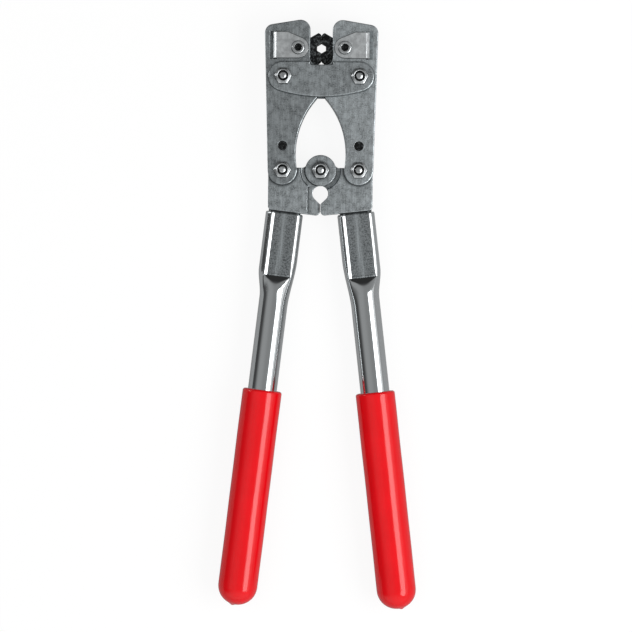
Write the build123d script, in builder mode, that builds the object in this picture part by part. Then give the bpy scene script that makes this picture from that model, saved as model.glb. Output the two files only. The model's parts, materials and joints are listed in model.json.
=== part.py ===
"""Hand crimping pliers for tubular cable lugs, with two turning hexagonal dies.

Two jaws of pinned plates swing on a pair of straps. Below, two forged handle heads
hinge on the jaws and on each other at the hub, so that spreading the handles opens
the dies and closing them brings the three lower pivots into one line.

Millimetres. The tool lies on its back: +X is right, +Y points to the jaws, +Z is up.
Sketches are drawn from the hub, where the two handles cross.
"""

import os
from math import acos, asin, cos, degrees, hypot, pi, radians, sin, sqrt, tan

from build123d import *

# Overall sizes
LENGTH = 390.0  # top of the jaws to the tips of the grips
HANDLE_LEAN = 6.65  # degrees between a closed handle and the middle line
HANDLE_SPREAD = 45.0  # degrees that each handle swings out

# Pivots, measured from the hub
PIVOT_X = 25.2  # strap pivots and jaw pivots to the middle line
STRAP_PIVOT_Y = 61.8  # strap pivots above the hub and the jaw pivots

# Layers of the stack, from the middle plane outwards
WEB = 10.0  # space between the two cheeks of a jaw
CHEEK = 4.5
STRAP = 3.5
SLIP = 0.1  # gap between faces that slide on each other

# Clearances on a radius
RUNNING = 0.05  # pin that turns in its hole
SNUG = 0.03  # pin, bolt or sleeve that stays still in its hole

# Jaw plates
JAW_INNER_X = 7.4  # edge beside the dies
JAW_RIM = 3.4  # wall outside the spring's slot, at the widest place
JAW_CROWN = 0.9  # top of the jaws above the die wheels
JAW_WAIST_X = 2.65  # edge behind the straps
JAW_END_R = 9.7  # round lower end about the jaw pivot
TOP_SLOPE = 9.5  # degrees that the top edge falls outwards
INNER_CORNER_R = 6.6
OUTER_CORNER_R = 5.6
WINDOW_DROP = 0.6  # tip of the leaf shaped window below the straps
WINDOW_BULGE = 5.8  # how far the window's edge bows out of its chord
JAW_EDGE_R = 0.7  # rounded edges of the outer faces
SPACER_TOP_GAP = 2.3  # room between the spacer and the strap bolt over it
SPACER_LOW_GAP = 1.1  # room between the spacer and the handle head under it
DOWEL_R = 3.2
DOWEL_Y = 16.0

# Straps
STRAP_END_R = 9.7
STRAP_BOW = 3.7  # how far the lower edge bows below the round ends
NOTCH_DEPTH = 2.0  # notch that leaves the dies in view
NOTCH_CORNER_R = 1.0
STRAP_EDGE_R = 0.8

# Die wheels
WHEEL_AF = 30.8  # across the flats
WHEEL_TRIM = 0.28  # turned off each corner
WHEEL_BOLT_GAP = 0.85  # between a passing corner and the strap bolt
WHEEL_PLAY = 0.15  # gap on each side, between the cheeks
DIE_GAP = 0.12  # gap between the closed dies
STATIONS = (5.8, 6.6, 7.8, 9.0, 10.2, 11.4)  # hexagons across the flats, in turning order
WHEEL_EDGE = 0.35

# Die axle screws
AXLE_R = 3.0
AXLE_THREAD_STEP = 0.5  # thread below the axle's radius
AXLE_HEAD_STEP = 1.3  # head beyond the axle's radius
AXLE_HEAD = 3.6
AXLE_KEY = 4.4  # hexagon socket across the flats
AXLE_KEY_DEPTH = 2.6

# Detent springs
SPRING = 1.0  # thickness of the strip
SPRING_NOSE = 2.4  # strip round the axle screw's head
SPRING_STRAP_GAP = 2.5  # between the strip and the strap
SPRING_RISE = 10.2  # top edge above the axle
SPRING_FAN = 7.0  # from the axle to where the fan reaches its full width
SPRING_REACH = 4.5  # how deep the bent leg goes between the cheeks
SPRING_BEND_X = 2.2  # sloping strip between the two bends, seen from the front
SPRING_BEND_TILT = 38.0  # degrees that it slopes
SPRING_BEND_R = 0.8  # outside of each bend
SPRING_LEG_GAP = 0.1  # between the leg and the wheel's outer flat
SLOT_X = 3.2  # slot in the cheek for the leg
SLOT_LEAD = 1.7  # slot under the bend
SLOT_MARGIN = 0.8  # slot beyond each end of the leg

# Bolts and nuts
BOLT_R = 3.0
BOLT_END_R = 1.4  # rounded tip
BOLT_STAND = 0.9  # tip above the nut
NUT_WALL = 2.0  # bolt to the flats
NUT_HEX = 3.9
NUT_COLLAR = 1.5
NUT_COLLAR_WALL = 0.75
NUT_BEVEL = 0.7
NUT_MOUTH = 0.6  # open ring round the bolt's tip
BUTTON_LEDGE = 2.25  # head beyond the shank
BUTTON = 2.9
BUTTON_ROUND = 1.6
COUNTERSINK = 2.6  # sunk head beyond the shank, and its depth
KEY = 4.0  # hexagon sockets of the bolts, across the flats
KEY_DEPTH = 1.8

# Handle heads
HEAD_TOP_Y = 1.7  # edge between the hub and the jaws
LUG_R = 9.4
HUB_R = 10.2
LAP_GAP = 0.4  # room round the other handle's hub
GROOVE_R = 13.6  # ring groove round the hub, on both faces
GROOVE = 1.8
GROOVE_COVE_R = 1.5  # hollow round at the foot of the groove
VALLEY_R = 3.0  # blend between the hub and the edge beside it
STOP_GAP = 0.15  # each stop face to the middle line
TEAR_Y = -15.3  # teardrop hole between the stops and the hub
TEAR_R = 5.2
TEAR_TIP_Y = -22.5
NOSE_X = 8.6  # recess beside the stop
NOSE_RECESS = 2.4
HEAD_INNER_CORNER_R = 2.8
HEAD_OUTER_CORNER_R = 2.6
HEAD_EDGE_R = 0.6
SLOT_EASE = 0.85  # room round the bolt of the freed pivot

# Handles
HANDLE_IN = 1.5  # handle's middle line inside the jaw pivot, at the tube's end
HANDLE_Y = -28.9
TUBE_D = 19.2
TUBE_WALL = 1.6
FLAT_THICK = 9.6  # pressed end of the tube
FLAT_LENGTH = 43.5
RAMP_LENGTH = 11.5
RAMP_TAPER = 70.0  # degrees, where the pressed faces run out on the round tube
TUBE_GAP = 1.6  # between the head and the tube's end
TANG_LENGTH = 36.0
TANG_ROOT = 3.0  # tang inside the head
TANG_FIT = 0.1
GRIP_WALL = 3.5
GRIP_START = 119.3  # down the handle from the tube's end
GRIP_RIM_R = 0.8
NUB_R = 2.6  # drip at the tip of the dipped grip
NUB_STAND = 0.8
TUBE_END_GAP = 0.2  # tube's end to the bottom of the grip

# Places that follow from the sizes above
GRIP_R = TUBE_D / 2 + GRIP_WALL
Z_MID = max(GRIP_R, WEB / 2 + CHEEK + SLIP + STRAP)
Z_WEB = Z_MID - WEB / 2
Z_FRONT_CHEEK = Z_MID + WEB / 2
Z_BACK_CHEEK = Z_WEB - CHEEK
Z_FRONT_FACE = Z_FRONT_CHEEK + CHEEK
Z_FRONT_STRAP = Z_FRONT_FACE + SLIP
Z_BACK_STRAP = Z_BACK_CHEEK - SLIP - STRAP
HEAD = WEB - 2 * SLIP
Z_HEAD = Z_WEB + SLIP
WHEEL = WEB - 2 * WHEEL_PLAY
NUT = NUT_HEX + NUT_COLLAR
NUT_AF = 2 * (BOLT_R + NUT_WALL)
NUT_COLLAR_R = BOLT_R + NUT_MOUTH + NUT_COLLAR_WALL
BUTTON_R = BOLT_R + BUTTON_LEDGE
COUNTERSINK_R = BOLT_R + COUNTERSINK
AXLE_THREAD_R = AXLE_R - AXLE_THREAD_STEP
AXLE_HEAD_R = AXLE_R + AXLE_HEAD_STEP
SPRING_NOSE_R = AXLE_HEAD_R + SPRING_NOSE
FLAT_WIDTH = FLAT_THICK + pi * (TUBE_D - FLAT_THICK) / 2  # the girth of the round tube

# The die wheels stand clear of the strap bolts, and the springs clear of the straps
APOTHEM = WHEEL_AF / 2
WHEEL_TURNED_R = APOTHEM / cos(radians(30)) - WHEEL_TRIM
AXLE_X = APOTHEM + DIE_GAP / 2
STRAP_TOP_Y = STRAP_PIVOT_Y + STRAP_END_R
STRAP_LOW_Y = STRAP_PIVOT_Y - STRAP_END_R - STRAP_BOW
BOLT_CLEAR = WHEEL_TURNED_R + WHEEL_BOLT_GAP + BOLT_R
WHEEL_Y = max(
    STRAP_PIVOT_Y + sqrt(BOLT_CLEAR**2 - (PIVOT_X - AXLE_X) ** 2),
    STRAP_TOP_Y + SPRING_NOSE_R + SPRING_STRAP_GAP,
)
LEG_X = AXLE_X + APOTHEM + SPRING_LEG_GAP
SPRING_LOW_Y = STRAP_TOP_Y + SPRING_STRAP_GAP
SPRING_HIGH_Y = WHEEL_Y + SPRING_RISE
JAW_OUTER_X = LEG_X + SLOT_X + JAW_RIM
JAW_TOP = WHEEL_Y + WHEEL_TURNED_R + JAW_CROWN
WAIST_TOP_Y = STRAP_TOP_Y - NOTCH_DEPTH
WINDOW_TOP_Y = STRAP_LOW_Y - WINDOW_DROP
SPACER_TOP_Y = STRAP_PIVOT_Y - BOLT_R - SPACER_TOP_GAP
SPACER_LOW_Y = LUG_R + SPACER_LOW_GAP
HUB_Y = LENGTH / 2 - JAW_TOP
HANDLE_X = PIVOT_X - HANDLE_IN

STRAP_PIVOT = (PIVOT_X, STRAP_PIVOT_Y)
JAW_PIVOT = (PIVOT_X, 0)
HUB = (0, 0)
DOWEL = (PIVOT_X, DOWEL_Y)
AXLE = (AXLE_X, WHEEL_Y)

# Swing of a jaw when its handle is fully open, and how far the bolt of the freed
# pivot drifts in the right head at half travel, where the jaws lead the handles
JAW_SWING = degrees(asin(PIVOT_X * (1 - cos(radians(HANDLE_SPREAD))) / STRAP_PIVOT_Y))
HALF_SWING = asin(PIVOT_X * (1 - cos(radians(HANDLE_SPREAD / 2))) / STRAP_PIVOT_Y)
DRIFT = 2 * STRAP_PIVOT_Y * (sin(radians(JAW_SWING / 2)) - sin(HALF_SWING))
DRIFT_ANGLE = 180 - HANDLE_SPREAD / 2

# Down the handle: the dome of the grip ends at the overall length
LEAN = radians(HANDLE_LEAN)
DOME = (LENGTH - JAW_TOP + HANDLE_Y - NUB_R) / cos(LEAN) + NUB_R - NUB_STAND - GRIP_R
TUBE_END = DOME - TUBE_END_GAP

os.makedirs("parts", exist_ok=True)


def level(height):
    """Plane at a height above the bench, centred on the hub."""
    return Plane(origin=(0, HUB_Y, height))


def down_handle(distance):
    """Plane across the right handle at a distance down from the tube's end."""
    x = HANDLE_X + distance * sin(LEAN)
    y = HUB_Y + HANDLE_Y - distance * cos(LEAN)
    return Plane(
        origin=(x, y, Z_MID),
        x_dir=(cos(LEAN), sin(LEAN), 0),
        z_dir=(sin(LEAN), -cos(LEAN), 0),
    )


def write(part, name):
    """Label a finished piece and write its file."""
    part.label = name
    export_step(part, f"parts/{name}.step")


def write_pair(part, name):
    """Write a right hand piece and its mirror image on the left."""
    write(part, f"right_{name}")
    with BuildPart() as left:
        mirror(part, about=Plane.YZ)
    write(left.part, f"left_{name}")


# Fasteners
def hexagon_socket(centre, face, depth, across):
    """Solid to cut a hexagon socket upwards (or downwards, by sign) from a face."""
    with BuildPart() as socket:
        with BuildSketch(level(face)):
            with Locations(centre):
                RegularPolygon(across / 2, 6, major_radius=False)
        extrude(amount=depth)
    return socket.part


def shank(centre, low, high):
    """Plain bolt shank with a rounded tip."""
    with BuildPart() as rod:
        with BuildSketch(level(low)):
            with Locations(centre):
                Circle(BOLT_R)
        extrude(amount=high - low)
        fillet(rod.faces().sort_by(Axis.Z)[-1].edges(), BOLT_END_R)
    return rod.part


def button_bolt(centre, seat, tip):
    """Bolt pushed in from the back, with a low round head under the seat."""
    with BuildPart() as bolt:
        with BuildSketch(level(seat - BUTTON)):
            with Locations(centre):
                Circle(BUTTON_R)
        extrude(amount=BUTTON)
        fillet(bolt.faces().sort_by(Axis.Z)[0].edges(), BUTTON_ROUND)
        add(hexagon_socket(centre, seat - BUTTON, KEY_DEPTH, KEY), mode=Mode.SUBTRACT)
        add(shank(centre, seat, tip))
    return bolt.part


def countersunk_bolt(centre, face, tip):
    """Bolt pushed in from the back, with its head sunk level with the back face."""
    with BuildPart() as bolt:
        with BuildSketch(level(face)):
            with Locations(centre):
                Circle(COUNTERSINK_R - SNUG)
        extrude(amount=COUNTERSINK_R - BOLT_R, taper=45)
        add(shank(centre, face, tip))
        add(hexagon_socket(centre, face, KEY_DEPTH, KEY), mode=Mode.SUBTRACT)
    return bolt.part


def lock_nut(centre, seat):
    """Hexagon nut with bevelled corners and a round collar that is open round the bolt."""
    corner_r = NUT_AF / 2 / cos(radians(30))
    with BuildPart() as nut:
        with BuildSketch(level(seat)):
            with Locations(centre):
                Circle(corner_r)
        extrude(amount=NUT_HEX)
        chamfer(nut.faces().sort_by(Axis.Z)[-1].edges(), NUT_BEVEL, 2 * NUT_BEVEL)
        with BuildSketch(level(seat)):
            with Locations(centre):
                RegularPolygon(NUT_AF / 2, 6, major_radius=False)
        extrude(amount=NUT_HEX, mode=Mode.INTERSECT)
        with BuildSketch(level(seat + NUT_HEX)):
            with Locations(centre):
                Circle(NUT_COLLAR_R)
        extrude(amount=NUT_COLLAR)
        fillet(nut.faces().sort_by(Axis.Z)[-1].edges(), NUT_COLLAR / 3)
        with BuildSketch(level(seat)):
            with Locations(centre):
                Circle(BOLT_R + SNUG)
        extrude(amount=NUT, mode=Mode.SUBTRACT)
        with BuildSketch(level(seat + NUT)):
            with Locations(centre):
                Circle(BOLT_R + NUT_MOUTH)
        extrude(amount=-NUT_COLLAR, mode=Mode.SUBTRACT)
    return nut.part


# Jaw plates
def jaw_outline():
    """Face of the right jaw, seen from the front."""
    slope = radians(TOP_SLOPE)
    crest_x = JAW_INNER_X + INNER_CORNER_R
    crest_y = JAW_TOP + INNER_CORNER_R * (1 / cos(slope) - 1)
    inner_top = (JAW_INNER_X, crest_y + INNER_CORNER_R * tan(slope))
    outer_top = (JAW_OUTER_X, crest_y - (JAW_OUTER_X - crest_x) * tan(slope))
    outer_low = (PIVOT_X + JAW_END_R, 0)
    inner_low = (PIVOT_X - JAW_END_R, 0)
    window_tip = (JAW_WAIST_X, WINDOW_TOP_Y)
    shoulder_r = JAW_INNER_X - JAW_WAIST_X
    waist_top = (JAW_WAIST_X, WAIST_TOP_Y)
    shoulder = (JAW_INNER_X, WAIST_TOP_Y + shoulder_r)
    curve = (
        JAW_WAIST_X + shoulder_r * sin(radians(45)),
        WAIST_TOP_Y + shoulder_r * (1 - cos(radians(45))),
    )
    chord_x = window_tip[0] - inner_low[0]
    chord_y = window_tip[1] - inner_low[1]
    chord = hypot(chord_x, chord_y)
    bow = (
        inner_low[0] + chord_x / 2 + WINDOW_BULGE * chord_y / chord,
        inner_low[1] + chord_y / 2 - WINDOW_BULGE * chord_x / chord,
    )
    with BuildSketch() as outline:
        with BuildLine():
            Line(window_tip, waist_top)
            ThreePointArc(waist_top, curve, shoulder)
            Polyline(shoulder, inner_top, outer_top, outer_low)
            ThreePointArc(outer_low, (PIVOT_X, -JAW_END_R), inner_low)
            ThreePointArc(inner_low, bow, window_tip)
        make_face()
        fillet(outline.vertices().sort_by(Axis.Y)[-1], INNER_CORNER_R)
        fillet(outline.vertices().sort_by_distance(outer_top)[0], OUTER_CORNER_R)
    return outline.sketch


def spring_slot():
    """Solid to cut the window through which the spring's leg reaches the wheel."""
    outer_x = LEG_X - SPRING_LEG_GAP + SLOT_X
    mid_y = (SPRING_LOW_Y + SPRING_HIGH_Y) / 2
    height = SPRING_HIGH_Y - SPRING_LOW_Y + 2 * SLOT_MARGIN
    with BuildPart() as slot:
        with BuildSketch(level(Z_FRONT_CHEEK)):
            with Locations((outer_x, mid_y)):
                Rectangle(SLOT_X + SLOT_LEAD, height, align=(Align.MAX, Align.CENTER))
        extrude(amount=CHEEK)
    return slot.part


def cheek(height, outer_face, axle_hole_r):
    """Side plate of the right jaw, rounded on its outer face (last or first by height)."""
    with BuildPart() as plate:
        with BuildSketch(level(height)):
            add(jaw_outline())
        extrude(amount=CHEEK)
        fillet(plate.faces().sort_by(Axis.Z)[outer_face].edges(), JAW_EDGE_R)
        with BuildSketch(level(height)):
            with Locations(STRAP_PIVOT):
                Circle(BOLT_R + RUNNING)
            with Locations(JAW_PIVOT):
                Circle(BOLT_R + SNUG)
            with Locations(DOWEL):
                Circle(DOWEL_R + SNUG)
            with Locations(AXLE):
                Circle(axle_hole_r)
        extrude(amount=CHEEK, mode=Mode.SUBTRACT)
    return plate.part


with BuildPart() as front_cheek:
    add(cheek(Z_FRONT_CHEEK, -1, AXLE_R + SNUG))
    add(spring_slot(), mode=Mode.SUBTRACT)
write_pair(front_cheek.part, "front_cheek")

write_pair(cheek(Z_BACK_CHEEK, 0, AXLE_THREAD_R + SNUG), "back_cheek")

with BuildPart() as spacer:
    with BuildSketch(level(Z_WEB)):
        add(jaw_outline())
        with Locations((PIVOT_X, (SPACER_TOP_Y + SPACER_LOW_Y) / 2)):
            Rectangle(4 * PIVOT_X, SPACER_TOP_Y - SPACER_LOW_Y, mode=Mode.INTERSECT)
        with Locations(DOWEL):
            Circle(DOWEL_R + SNUG, mode=Mode.SUBTRACT)
    extrude(amount=WEB)
write_pair(spacer.part, "spacer")

with BuildPart() as dowel:
    with BuildSketch(level(Z_BACK_CHEEK)):
        with Locations(DOWEL):
            Circle(DOWEL_R)
    extrude(amount=2 * CHEEK + WEB)
write_pair(dowel.part, "dowel")

# Dies and what holds them
with BuildPart() as die_wheel:
    with BuildSketch(level(Z_WEB + WHEEL_PLAY)):
        with Locations(AXLE):
            RegularPolygon(APOTHEM, 6, major_radius=False, rotation=30)
            Circle(WHEEL_TURNED_R, mode=Mode.INTERSECT)
        for turn, across in enumerate(STATIONS):
            with Locations(AXLE):
                with PolarLocations(AXLE_X, 1, start_angle=180 + 60 * turn):
                    RegularPolygon(across / 2, 6, major_radius=False, rotation=30, mode=Mode.SUBTRACT)
    extrude(amount=WHEEL)
    rims = die_wheel.faces().filter_by(Axis.Z).edges()
    chamfer(rims, WHEEL_EDGE)
    with BuildSketch(level(Z_WEB + WHEEL_PLAY)):
        with Locations(AXLE):
            Circle(AXLE_R + RUNNING)
    extrude(amount=WHEEL, mode=Mode.SUBTRACT)
write_pair(die_wheel.part, "die_wheel")

with BuildPart() as detent_spring:
    spring_mid_y = (SPRING_LOW_Y + SPRING_HIGH_Y) / 2
    spring_height = SPRING_HIGH_Y - SPRING_LOW_Y
    fan_width = LEG_X + SPRING - AXLE_X - SPRING_FAN
    with BuildSketch(level(Z_FRONT_FACE)):
        with Locations(AXLE):
            Circle(SPRING_NOSE_R)
        with Locations((LEG_X + SPRING, spring_mid_y)):
            Rectangle(fan_width, spring_height, align=(Align.MAX, Align.CENTER))
        make_hull()
        with Locations(AXLE):
            Circle(AXLE_R + SNUG, mode=Mode.SUBTRACT)
    extrude(amount=SPRING)
    with BuildSketch(level(Z_FRONT_FACE)):
        with Locations((LEG_X + SPRING / 2, spring_mid_y)):
            Rectangle(SPRING, spring_height)
    extrude(amount=-CHEEK - SPRING_REACH)
    tilt = radians(SPRING_BEND_TILT)
    inner_x = SPRING_BEND_X - SPRING * (1 + 1 / tan(tilt) - 1 / sin(tilt))
    inner_bend = (LEG_X, HUB_Y + spring_mid_y, Z_FRONT_FACE)
    corner = detent_spring.edges().filter_by(Axis.Y).sort_by_distance(inner_bend)[0]
    under = detent_spring.faces().filter_by(Axis.Z).sort_by_distance(inner_bend)[0]
    chamfer(corner, inner_x, inner_x * tan(tilt), reference=under)
    outer_edges = detent_spring.edges().filter_by(Axis.Y).group_by(Axis.X)[-1]
    top = detent_spring.faces().filter_by(Axis.Z).sort_by(Axis.Z)[-1]
    chamfer(
        outer_edges.sort_by(Axis.Z)[-1],
        SPRING_BEND_X,
        SPRING_BEND_X * tan(tilt),
        reference=top,
    )
    slope = detent_spring.faces().sort_by_distance(
        (LEG_X + SPRING, HUB_Y + spring_mid_y, Z_FRONT_FACE + SPRING)
    )[0]
    fillet(slope.edges().filter_by(Axis.Y), SPRING_BEND_R)
write_pair(detent_spring.part, "detent_spring")

with BuildPart() as die_axle_screw:
    with BuildSketch(level(Z_BACK_CHEEK)):
        with Locations(AXLE):
            Circle(AXLE_THREAD_R)
    extrude(amount=CHEEK)
    with BuildSketch(level(Z_WEB)):
        with Locations(AXLE):
            Circle(AXLE_R)
    extrude(amount=WEB + CHEEK + SPRING)
    with BuildSketch(level(Z_FRONT_FACE + SPRING)):
        with Locations(AXLE):
            Circle(AXLE_HEAD_R)
    extrude(amount=AXLE_HEAD)
    fillet(die_axle_screw.faces().sort_by(Axis.Z)[-1].edges(), AXLE_HEAD / 6)
    key_face = Z_FRONT_FACE + SPRING + AXLE_HEAD
    add(hexagon_socket(AXLE, key_face, -AXLE_KEY_DEPTH, AXLE_KEY), mode=Mode.SUBTRACT)
write_pair(die_axle_screw.part, "die_axle_screw")

# Jaw pivots
write_pair(button_bolt(JAW_PIVOT, Z_BACK_CHEEK, Z_FRONT_FACE + NUT + BOLT_STAND), "pivot_bolt")
write_pair(lock_nut(JAW_PIVOT, Z_FRONT_FACE), "pivot_nut")


# Straps
def strap(height, outer_face):
    """Plate across both jaws, bowed below and notched for the dies above."""
    centre_gap = (PIVOT_X**2 / STRAP_BOW + STRAP_BOW) / 2
    bow_r = centre_gap + STRAP_END_R
    bow_y = STRAP_LOW_Y + bow_r
    meet_x = PIVOT_X * bow_r / centre_gap
    meet_y = bow_y - (bow_y - STRAP_PIVOT_Y) * bow_r / centre_gap
    with BuildPart() as plate:
        with BuildSketch(level(height)) as outline:
            with BuildLine():
                Line((-PIVOT_X, STRAP_TOP_Y), (PIVOT_X, STRAP_TOP_Y))
                ThreePointArc(
                    (PIVOT_X, STRAP_TOP_Y),
                    (PIVOT_X + STRAP_END_R, STRAP_PIVOT_Y),
                    (meet_x, meet_y),
                )
                ThreePointArc((meet_x, meet_y), (0, STRAP_LOW_Y), (-meet_x, meet_y))
                ThreePointArc(
                    (-meet_x, meet_y),
                    (-PIVOT_X - STRAP_END_R, STRAP_PIVOT_Y),
                    (-PIVOT_X, STRAP_TOP_Y),
                )
            make_face()
            with Locations((0, STRAP_TOP_Y)):
                Rectangle(2 * JAW_INNER_X, 2 * NOTCH_DEPTH, mode=Mode.SUBTRACT)
            floor = outline.vertices().sort_by_distance((0, STRAP_TOP_Y - NOTCH_DEPTH))[0:2]
            fillet(floor, NOTCH_CORNER_R)
        extrude(amount=STRAP)
        fillet(plate.faces().sort_by(Axis.Z)[outer_face].edges(), STRAP_EDGE_R)
        with BuildSketch(level(height)):
            with Locations(STRAP_PIVOT, (-PIVOT_X, STRAP_PIVOT_Y)):
                Circle(BOLT_R + SNUG)
        extrude(amount=STRAP, mode=Mode.SUBTRACT)
    return plate.part


write(strap(Z_FRONT_STRAP, -1), "front_strap")

with BuildPart() as back_strap:
    add(strap(Z_BACK_STRAP, 0))
    with BuildSketch(level(Z_BACK_STRAP)):
        with Locations(STRAP_PIVOT, (-PIVOT_X, STRAP_PIVOT_Y)):
            Circle(COUNTERSINK_R)
    extrude(amount=COUNTERSINK_R - BOLT_R, taper=45, mode=Mode.SUBTRACT)
write(back_strap.part, "back_strap")

with BuildPart() as strap_bolts:
    add(countersunk_bolt(STRAP_PIVOT, Z_BACK_STRAP, Z_FRONT_STRAP + STRAP + NUT + BOLT_STAND))
    mirror(about=Plane.YZ)
write(strap_bolts.part, "strap_bolts")

with BuildPart() as strap_nuts:
    add(lock_nut(STRAP_PIVOT, Z_FRONT_STRAP + STRAP))
    mirror(about=Plane.YZ)
write(strap_nuts.part, "strap_nuts")


# Sections of the tube
def pressed_section(inset):
    """Section of the tube's pressed end, shrunk by an inset: two flats and two round sides."""
    half = FLAT_THICK / 2 - inset
    flat = (FLAT_WIDTH - FLAT_THICK) / 2
    with BuildLine() as edge:
        Line((-flat, half), (flat, half))
        ThreePointArc((flat, half), (flat + half, 0), (flat, -half))
        Line((flat, -half), (-flat, -half))
        ThreePointArc((-flat, -half), (-flat - half, 0), (-flat, half))
    return edge.line


def round_section(inset):
    """Section of the round tube, shrunk by an inset, in four arcs that match the pressed end."""
    r = TUBE_D / 2 - inset
    x = r * cos(radians(RAMP_TAPER))
    y = r * sin(radians(RAMP_TAPER))
    with BuildLine() as edge:
        ThreePointArc((-x, y), (0, r), (x, y))
        ThreePointArc((x, y), (r, 0), (x, -y))
        ThreePointArc((x, -y), (0, -r), (-x, -y))
        ThreePointArc((-x, -y), (-r, 0), (-x, y))
    return edge.line


# Handle heads
def bottom_y(x):
    """Lower edge of the right head, square to the handle and a gap above the tube."""
    start_x = HANDLE_X - TUBE_GAP * sin(LEAN)
    start_y = HANDLE_Y + TUBE_GAP * cos(LEAN)
    return start_y + (x - start_x) * tan(LEAN)


def teardrop():
    """Hole between the two heads: a circle that runs down to a point."""
    depth = TEAR_Y - TEAR_TIP_Y
    half_angle = asin(TEAR_R / depth)
    touch_x = TEAR_R * cos(half_angle)
    touch_y = TEAR_Y - TEAR_R * sin(half_angle)
    with BuildSketch() as hole:
        with Locations((0, TEAR_Y)):
            Circle(TEAR_R)
        with BuildLine():
            Polyline(
                (0, TEAR_TIP_Y),
                (touch_x, touch_y),
                (0, TEAR_Y),
                (-touch_x, touch_y),
                close=True,
            )
        make_face()
    return hole.sketch


def lap_cut():
    """Room for the other handle's hub, in the back half."""
    with BuildPart() as room:
        with BuildSketch(level(Z_HEAD)):
            Circle(HUB_R + LAP_GAP)
        extrude(amount=(HEAD + SLIP) / 2)
    return room.part


def groove_cut():
    """Ring groove in both faces round the hub, with a hollow round at its rim."""
    with BuildPart() as ring:
        with BuildSketch(level(Z_HEAD + HEAD - GROOVE)):
            Circle(GROOVE_R)
        extrude(amount=GROOVE)
        fillet(ring.faces().sort_by(Axis.Z)[0].edges(), GROOVE_COVE_R)
        with BuildSketch(level(Z_HEAD + HEAD - GROOVE)):
            Circle(HUB_R)
        extrude(amount=GROOVE, mode=Mode.SUBTRACT)
        mirror(about=level(Z_MID))
    return ring.part


def handle_head(pivot_hole):
    """Forged head of the right handle, with its half of the hub in front."""
    outer_x = PIVOT_X + LUG_R
    with BuildPart() as head:
        with BuildSketch(level(Z_HEAD)) as plate:
            with BuildLine():
                Polyline(
                    (STOP_GAP, HEAD_TOP_Y),
                    (PIVOT_X, HEAD_TOP_Y),
                    (PIVOT_X, 0),
                    (outer_x, 0),
                    (outer_x, bottom_y(outer_x)),
                    (STOP_GAP, bottom_y(STOP_GAP)),
                    close=True,
                )
            make_face()
            fillet(plate.vertices().sort_by(Axis.Y)[0], HEAD_INNER_CORNER_R)
            outer_low = plate.vertices().sort_by_distance((outer_x, bottom_y(outer_x)))[0]
            fillet(outer_low, HEAD_OUTER_CORNER_R)
            with Locations(JAW_PIVOT):
                Circle(LUG_R)
            Circle(HUB_R)
            valley = (HUB_R * cos(asin(HEAD_TOP_Y / HUB_R)), HEAD_TOP_Y)
            fillet(plate.vertices().sort_by_distance(valley)[0], VALLEY_R)
            add(teardrop(), mode=Mode.SUBTRACT)
        extrude(amount=HEAD)
        fillet(head.faces().filter_by(Axis.Z).edges(), HEAD_EDGE_R)
        add(lap_cut(), mode=Mode.SUBTRACT)
        add(groove_cut(), mode=Mode.SUBTRACT)
        with BuildSketch(level(Z_HEAD)):
            with Locations((NOSE_X, -GROOVE_R * sin(acos(NOSE_X / GROOVE_R)))):
                Rectangle(2 * NOSE_X, 2 * GROOVE_R, align=(Align.MAX, Align.MAX))
        extrude(amount=NOSE_RECESS, mode=Mode.SUBTRACT)
        with BuildSketch(level(Z_HEAD)):
            Circle(BOLT_R + RUNNING)
            add(pivot_hole)
        extrude(amount=HEAD, mode=Mode.SUBTRACT)
        with BuildSketch(down_handle(-TUBE_GAP - TANG_ROOT)):
            make_face(pressed_section(TUBE_WALL + TANG_FIT))
        extrude(amount=TANG_ROOT + TUBE_GAP + TANG_LENGTH)
    return head.part


with BuildSketch() as freed_hole:
    with Locations(JAW_PIVOT):
        with PolarLocations(DRIFT / 2, 1, start_angle=DRIFT_ANGLE):
            SlotCenterToCenter(DRIFT, 2 * (BOLT_R + SLOT_EASE))
write(handle_head(freed_hole.sketch), "right_handle_head")

with BuildSketch() as round_hole:
    with Locations(JAW_PIVOT):
        Circle(BOLT_R + RUNNING)
with BuildPart() as left_handle_head:
    with Locations((0, 0, 2 * Z_MID)):
        add(handle_head(round_hole.sketch), rotation=(0, 180, 0))
write(left_handle_head.part, "left_handle_head")

# Hub
write(button_bolt(HUB, Z_HEAD - SLIP, Z_HEAD + HEAD + NUT + BOLT_STAND), "hub_bolt")
write(lock_nut(HUB, Z_HEAD + HEAD), "hub_nut")


# Handles
def tube_core(inset):
    """The tube's outside as a solid, shrunk by an inset: pressed end, ramp and round run."""
    ramp_end = FLAT_LENGTH + RAMP_LENGTH
    with BuildPart() as core:
        with BuildSketch(down_handle(0)):
            make_face(pressed_section(inset))
        extrude(amount=FLAT_LENGTH)
        with BuildSketch(down_handle(FLAT_LENGTH)):
            make_face(pressed_section(inset))
        with BuildSketch(down_handle(ramp_end)):
            make_face(round_section(inset))
        loft(ruled=True)
        with BuildSketch(down_handle(ramp_end)):
            make_face(round_section(inset))
        extrude(amount=TUBE_END - ramp_end)
    return core.part


with BuildPart() as tube:
    add(tube_core(0))
    add(tube_core(TUBE_WALL), mode=Mode.SUBTRACT)
write_pair(tube.part, "tube")

with BuildPart() as grip:
    with BuildSketch(down_handle(GRIP_START)):
        Circle(GRIP_R)
    extrude(amount=DOME - GRIP_START)
    fillet(grip.faces().sort_by(Axis.Y)[-1].edges(), GRIP_RIM_R)
    with Locations(down_handle(DOME).location):
        Sphere(GRIP_R)
    with Locations(down_handle(DOME + GRIP_R + NUB_STAND - NUB_R).location):
        Sphere(NUB_R)
    with BuildSketch(down_handle(GRIP_START)):
        Circle(TUBE_D / 2 + SNUG)
    extrude(amount=DOME - GRIP_START, mode=Mode.SUBTRACT)
write_pair(grip.part, "grip")
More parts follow.
